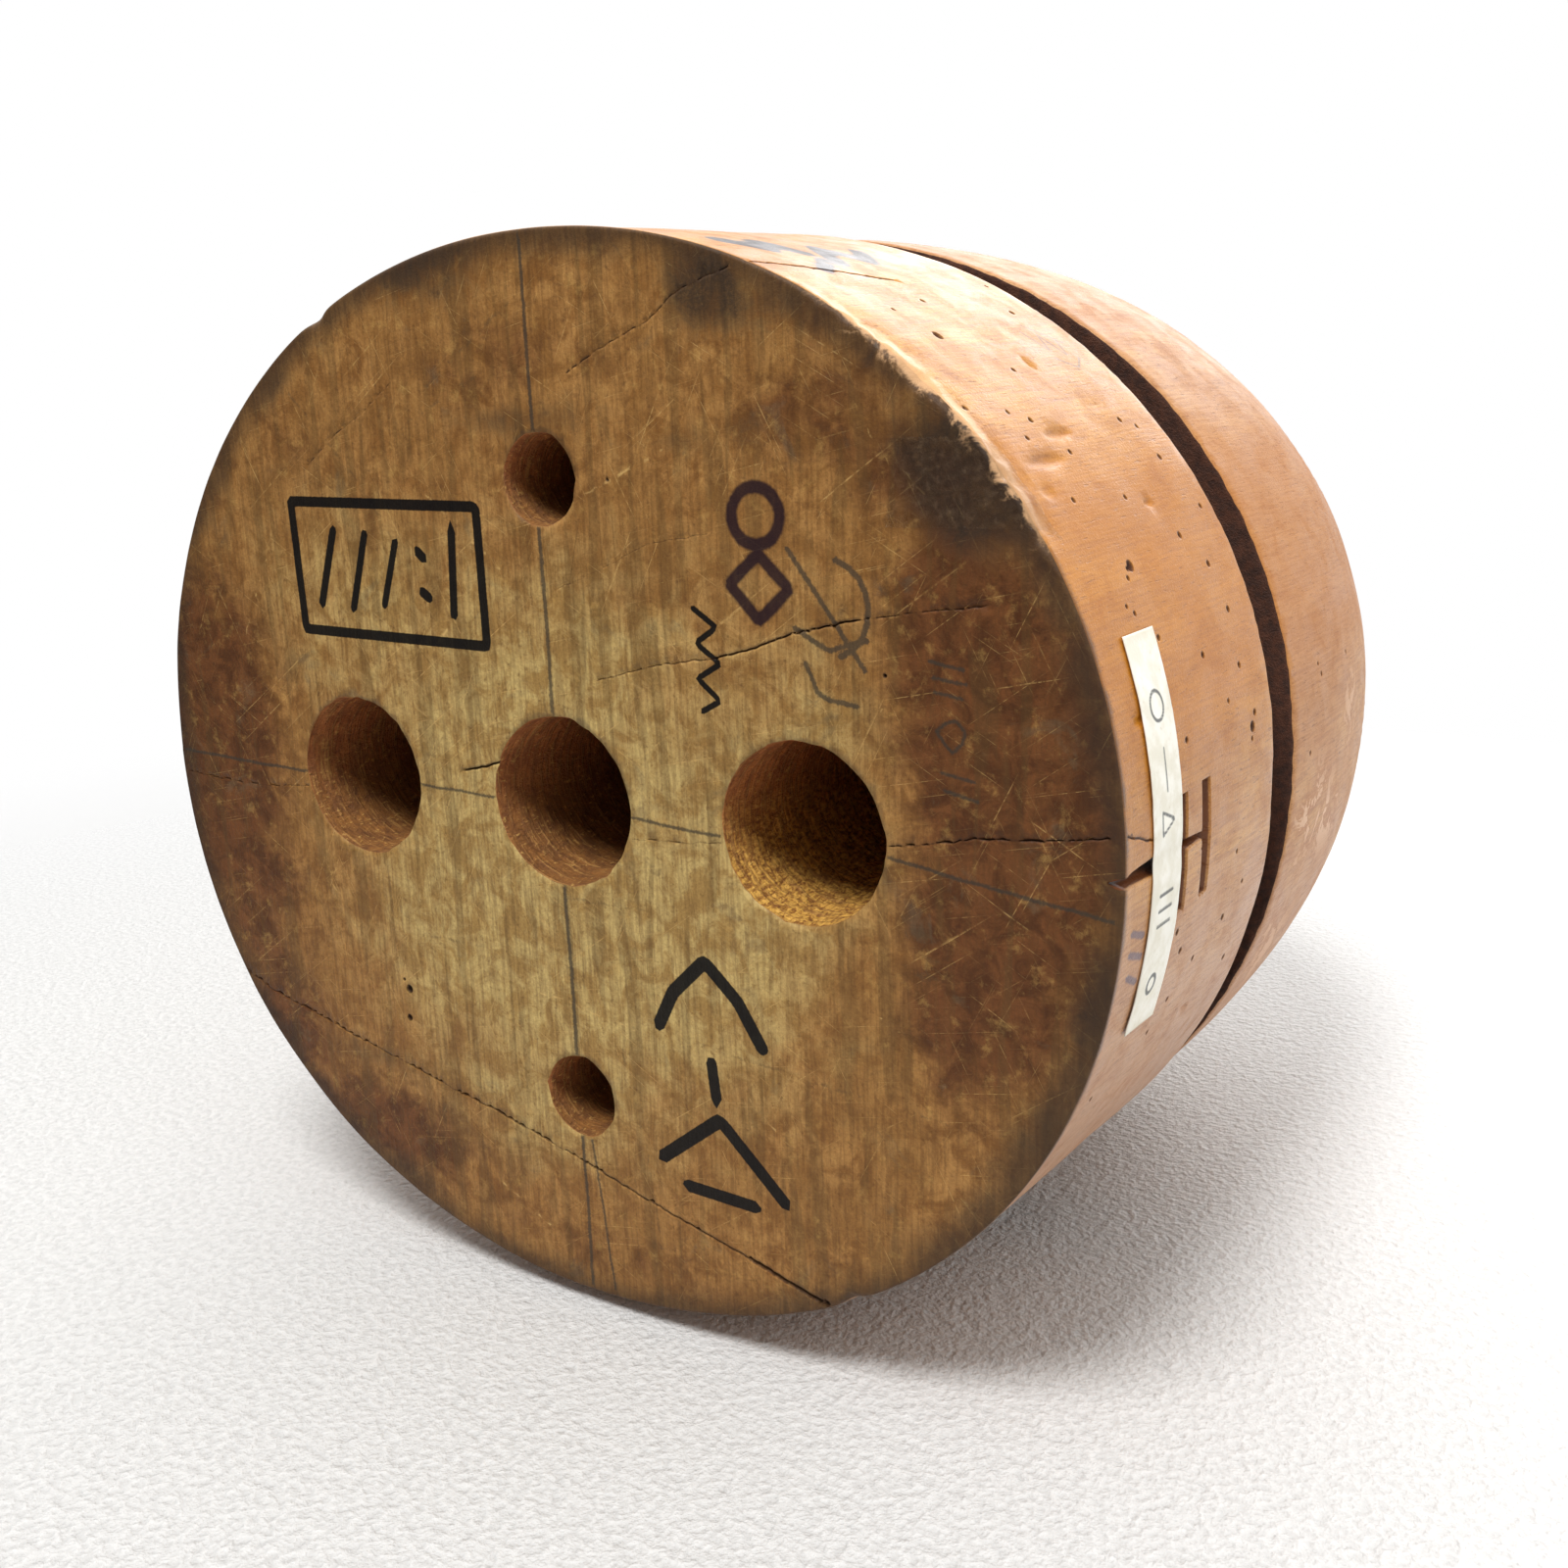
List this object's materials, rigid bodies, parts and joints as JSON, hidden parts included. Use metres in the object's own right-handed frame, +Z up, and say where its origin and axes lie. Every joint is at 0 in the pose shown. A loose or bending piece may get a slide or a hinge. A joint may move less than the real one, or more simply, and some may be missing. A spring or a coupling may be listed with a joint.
{
  "type": "hat block",
  "caption": "Oval wooden milliner's hat block with a rounded crown, a cord groove round its wall, blind round sockets in its flat base, a paper label and a tape patch.",
  "frame": {"origin": "centre of the middle socket's mouth, in the plane of the flat base", "axes": "+Y from the flat base to the crown, +X along the oval's long axis to the notched and labelled end, +Z up with the block lying on the long side of its oval"},
  "size_m": [0.1766, 0.16, 0.1632],
  "materials": {
    "aged_wood": "worn, waxed by handling",
    "paper": "matt",
    "clear_tape": "glossy, yellowed"
  },
  "bodies": {
    "root": {"block": "aged_wood", "paper_label": "paper", "tape_patch": "clear_tape"}
  },
  "joints": []
}
